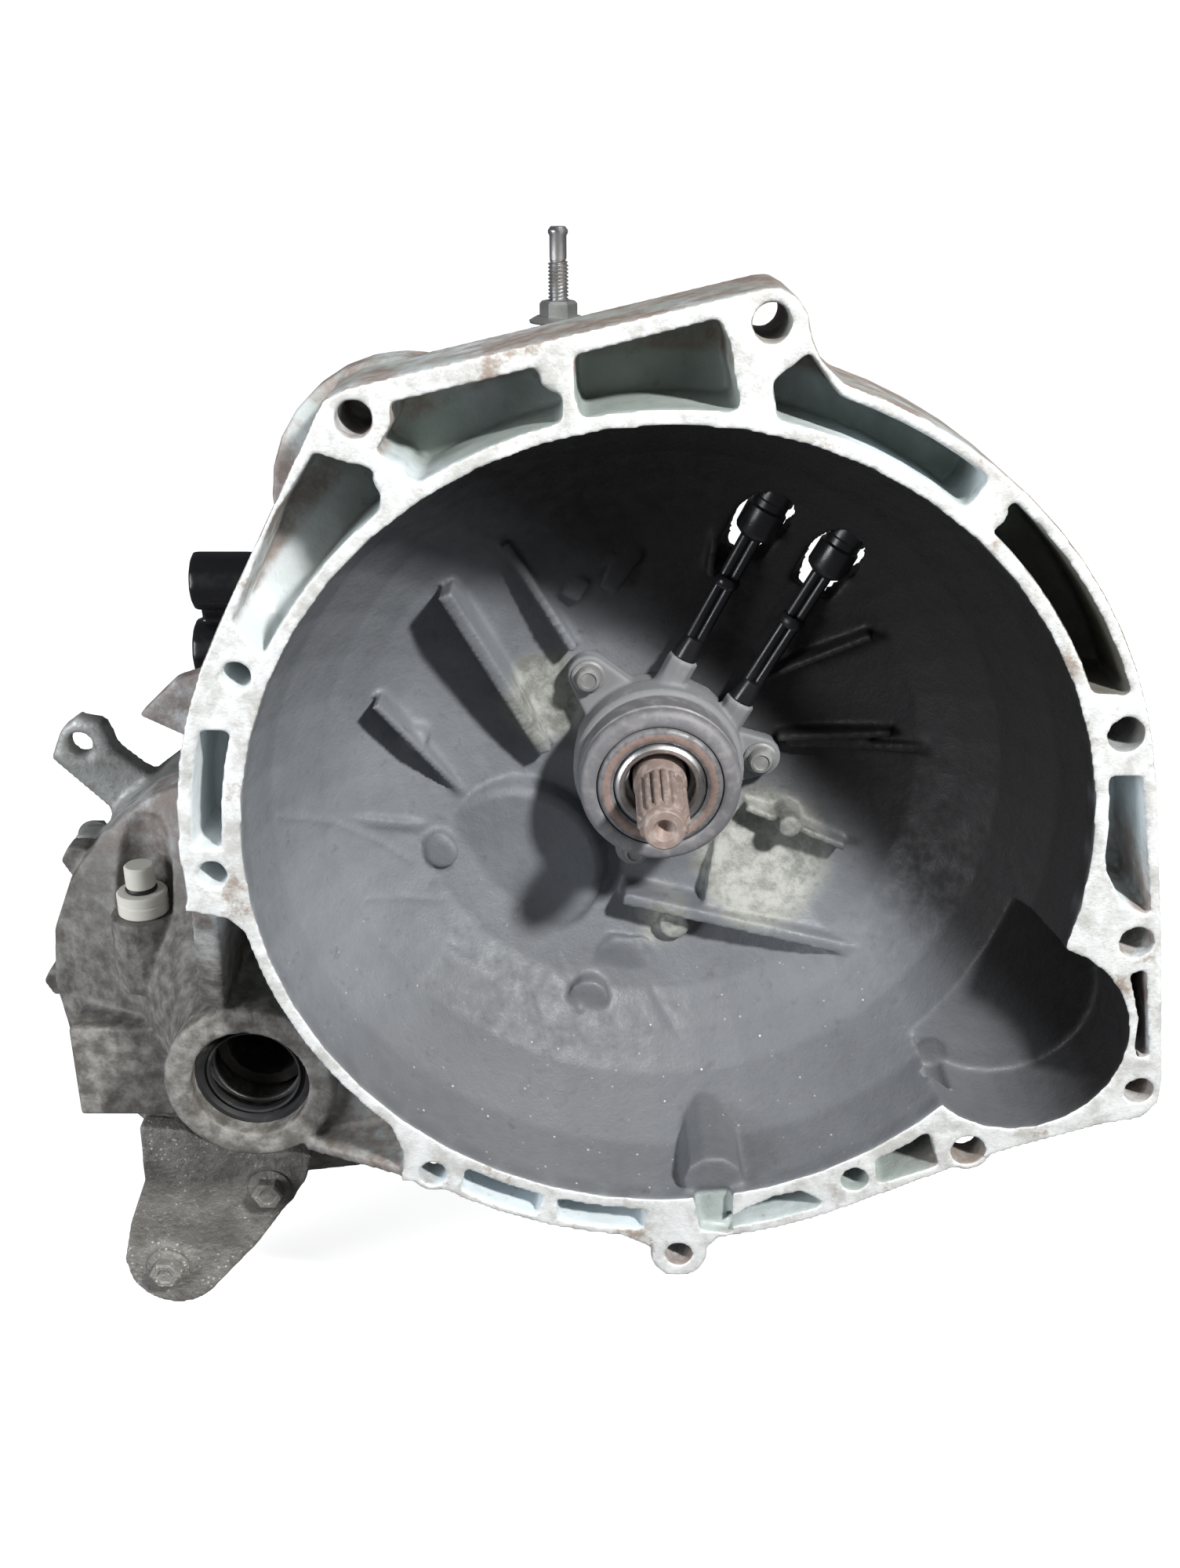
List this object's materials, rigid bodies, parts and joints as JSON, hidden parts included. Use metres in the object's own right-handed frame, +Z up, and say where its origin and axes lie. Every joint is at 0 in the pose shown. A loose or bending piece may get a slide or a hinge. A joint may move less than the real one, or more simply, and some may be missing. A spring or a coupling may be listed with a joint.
{
  "type": "manual transmission",
  "caption": "Transverse manual transmission seen into its open clutch bell, with gear trains, differential, hydraulic clutch release, selector and mounting bracket as separate pieces.",
  "frame": {"origin": "on the input shaft's axis, in the plane of the face that bolts to the engine", "axes": "+Y from the engine into the gearbox along the input shaft, +Z up, +X to the right seen from the engine"},
  "size_m": [0.4801, 0.381, 0.4904],
  "materials": {
    "cast_aluminium": "sand-cast, dull and oily, with machined faces",
    "machined_steel": "machined",
    "dark_steel": "rough and oily",
    "rusty_steel": "lightly rusted",
    "grey_plastic": "moulded, dusty",
    "black_plastic": "moulded",
    "blue_plastic": "moulded",
    "cream_plastic": "moulded, slightly stained",
    "seal_rubber": "matte"
  },
  "bodies": {
    "case": {"bell_housing": "cast_aluminium", "gear_case": "cast_aluminium", "end_cover": "cast_aluminium", "input_bearing_front": "machined_steel", "input_bearing_rear": "machined_steel", "output_bearing_front": "machined_steel", "output_bearing_rear": "machined_steel", "differential_bearing_left": "machined_steel", "differential_bearing_right": "machined_steel", "driveshaft_seal_left": "seal_rubber", "driveshaft_seal_right": "seal_rubber", "slave_cylinder": "grey_plastic", "slave_cylinder_bolt_1": "machined_steel", "slave_cylinder_bolt_2": "machined_steel", "slave_cylinder_bolt_3": "machined_steel", "fluid_pipe": "black_plastic", "bleed_pipe": "black_plastic", "selector_housing": "cast_aluminium", "breather_cap": "blue_plastic", "mount_stud": "machined_steel", "mount_stud_nut": "machined_steel", "speed_sensor": "cream_plastic", "support_bracket": "dark_steel", "bracket_bolt_upper": "machined_steel", "bracket_bolt_lower": "machined_steel", "fork_rail": "machined_steel", "reverse_idler_shaft": "machined_steel"},
    "input_train": {"input_shaft": "machined_steel", "input_gear_3": "machined_steel", "input_gear_4": "machined_steel", "input_gear_5": "machined_steel", "input_gear_reverse": "machined_steel"},
    "gear_1": {"output_gear_1": "machined_steel"},
    "gear_2": {"output_gear_2": "machined_steel"},
    "gear_3": {"output_gear_3": "machined_steel"},
    "gear_4": {"output_gear_4": "machined_steel"},
    "gear_5": {"output_gear_5": "machined_steel"},
    "gear_reverse": {"output_gear_reverse": "machined_steel"},
    "reverse_idler": {"reverse_idler_gear": "machined_steel"},
    "output_train": {"output_shaft": "machined_steel", "synchro_hub_1_2": "machined_steel", "synchro_hub_3_4": "machined_steel", "synchro_hub_5_reverse": "machined_steel"},
    "sleeve_1_2": {"synchro_sleeve_1_2": "machined_steel"},
    "sleeve_3_4": {"synchro_sleeve_3_4": "machined_steel"},
    "sleeve_5_reverse": {"synchro_sleeve_5_reverse": "machined_steel"},
    "fork_1_2": {"shift_fork_1_2": "dark_steel"},
    "fork_3_4": {"shift_fork_3_4": "dark_steel"},
    "fork_5_reverse": {"shift_fork_5_reverse": "dark_steel"},
    "differential": {"differential_case": "dark_steel", "ring_gear": "machined_steel", "differential_cross_pin": "machined_steel"},
    "side_gear_left": {"side_gear_left": "machined_steel"},
    "side_gear_right": {"side_gear_right": "machined_steel"},
    "spider_gear_upper": {"spider_gear_upper": "machined_steel"},
    "spider_gear_lower": {"spider_gear_lower": "machined_steel"},
    "release_carrier": {"release_bearing": "grey_plastic"},
    "release_race": {"release_bearing_race": "rusty_steel"},
    "selector": {"selector_shaft": "machined_steel", "selector_lever": "black_plastic"}
  },
  "joints": [
    {"name": "input_spin", "type": "hinge", "parent": "case", "child": "input_train", "pos_m": [0, 0, 0], "axis": [0, 1, 0], "continuous": true},
    {"name": "gear_1_spin", "type": "hinge", "parent": "case", "child": "gear_1", "pos_m": [-0.061, 0, -0.052], "axis": [0, 1, 0], "continuous": true},
    {"name": "gear_2_spin", "type": "hinge", "parent": "case", "child": "gear_2", "pos_m": [-0.061, 0, -0.052], "axis": [0, 1, 0], "continuous": true},
    {"name": "gear_3_spin", "type": "hinge", "parent": "case", "child": "gear_3", "pos_m": [-0.061, 0, -0.052], "axis": [0, 1, 0], "continuous": true},
    {"name": "gear_4_spin", "type": "hinge", "parent": "case", "child": "gear_4", "pos_m": [-0.061, 0, -0.052], "axis": [0, 1, 0], "continuous": true},
    {"name": "gear_5_spin", "type": "hinge", "parent": "case", "child": "gear_5", "pos_m": [-0.061, 0, -0.052], "axis": [0, 1, 0], "continuous": true},
    {"name": "reverse_idler_spin", "type": "hinge", "parent": "case", "child": "reverse_idler", "pos_m": [-0.03443, 0.36, 0.01314], "axis": [0, 1, 0], "continuous": true},
    {"name": "gear_reverse_spin", "type": "hinge", "parent": "case", "child": "gear_reverse", "pos_m": [-0.061, 0, -0.052], "axis": [0, 1, 0], "continuous": true},
    {"name": "differential_spin", "type": "hinge", "parent": "case", "child": "differential", "pos_m": [-0.169, 0, -0.121], "axis": [0, 1, 0], "continuous": true},
    {"name": "output_spin", "type": "hinge", "parent": "case", "child": "output_train", "pos_m": [-0.061, 0, -0.052], "axis": [0, 1, 0], "continuous": true},
    {"name": "side_gear_left_spin", "type": "hinge", "parent": "differential", "child": "side_gear_left", "pos_m": [-0.169, 0.16, -0.121], "axis": [0, 1, 0], "continuous": true},
    {"name": "side_gear_right_spin", "type": "hinge", "parent": "differential", "child": "side_gear_right", "pos_m": [-0.169, 0.16, -0.121], "axis": [0, 1, 0], "continuous": true},
    {"name": "spider_gear_upper_spin", "type": "hinge", "parent": "differential", "child": "spider_gear_upper", "pos_m": [-0.169, 0.16, -0.121], "axis": [0, 0, 1], "continuous": true},
    {"name": "spider_gear_lower_spin", "type": "hinge", "parent": "differential", "child": "spider_gear_lower", "pos_m": [-0.169, 0.16, -0.121], "axis": [0, 0, 1], "continuous": true},
    {"name": "sleeve_1_2_slide", "type": "slide", "parent": "output_train", "child": "sleeve_1_2", "axis": [0, 1, 0], "range_m": [-0.0055, 0.0055]},
    {"name": "fork_1_2_slide", "type": "slide", "parent": "case", "child": "fork_1_2", "axis": [0, 1, 0], "range_m": [-0.0055, 0.0055]},
    {"name": "sleeve_3_4_slide", "type": "slide", "parent": "output_train", "child": "sleeve_3_4", "axis": [0, 1, 0], "range_m": [-0.0055, 0.0055]},
    {"name": "fork_3_4_slide", "type": "slide", "parent": "case", "child": "fork_3_4", "axis": [0, 1, 0], "range_m": [-0.0055, 0.0055]},
    {"name": "sleeve_5_reverse_slide", "type": "slide", "parent": "output_train", "child": "sleeve_5_reverse", "axis": [0, 1, 0], "range_m": [-0.0055, 0.0055]},
    {"name": "fork_5_reverse_slide", "type": "slide", "parent": "case", "child": "fork_5_reverse", "axis": [0, 1, 0], "range_m": [-0.0055, 0.0055]},
    {"name": "release_travel", "type": "slide", "parent": "case", "child": "release_carrier", "axis": [0, -1, 0], "range_m": [0, 0.008]},
    {"name": "release_race_spin", "type": "hinge", "parent": "release_carrier", "child": "release_race", "pos_m": [0, 0.065, 0], "axis": [0, 1, 0], "continuous": true},
    {"name": "selector_turn", "type": "hinge", "parent": "case", "child": "selector", "pos_m": [-0.1, 0.165, 0.05], "axis": [1, 0, 0], "range_deg": [-12, 12]}
  ],
  "couplings": [
    {"joint": "gear_1_spin", "follows": "input_spin", "ratio": -0.31429},
    {"joint": "gear_2_spin", "follows": "input_spin", "ratio": -0.46667},
    {"joint": "gear_3_spin", "follows": "input_spin", "ratio": -0.69231},
    {"joint": "gear_4_spin", "follows": "input_spin", "ratio": -0.95652},
    {"joint": "gear_5_spin", "follows": "input_spin", "ratio": -1.25},
    {"joint": "reverse_idler_spin", "follows": "input_spin", "ratio": -0.83333},
    {"joint": "gear_reverse_spin", "follows": "input_spin", "ratio": 0.33333},
    {"joint": "output_spin", "follows": "differential_spin", "ratio": -3.375},
    {"joint": "side_gear_right_spin", "follows": "side_gear_left_spin", "ratio": -1},
    {"joint": "spider_gear_upper_spin", "follows": "side_gear_left_spin", "ratio": 1.4},
    {"joint": "spider_gear_lower_spin", "follows": "side_gear_left_spin", "ratio": -1.4},
    {"joint": "fork_1_2_slide", "follows": "sleeve_1_2_slide", "ratio": 1},
    {"joint": "fork_3_4_slide", "follows": "sleeve_3_4_slide", "ratio": 1},
    {"joint": "fork_5_reverse_slide", "follows": "sleeve_5_reverse_slide", "ratio": 1}
  ]
}
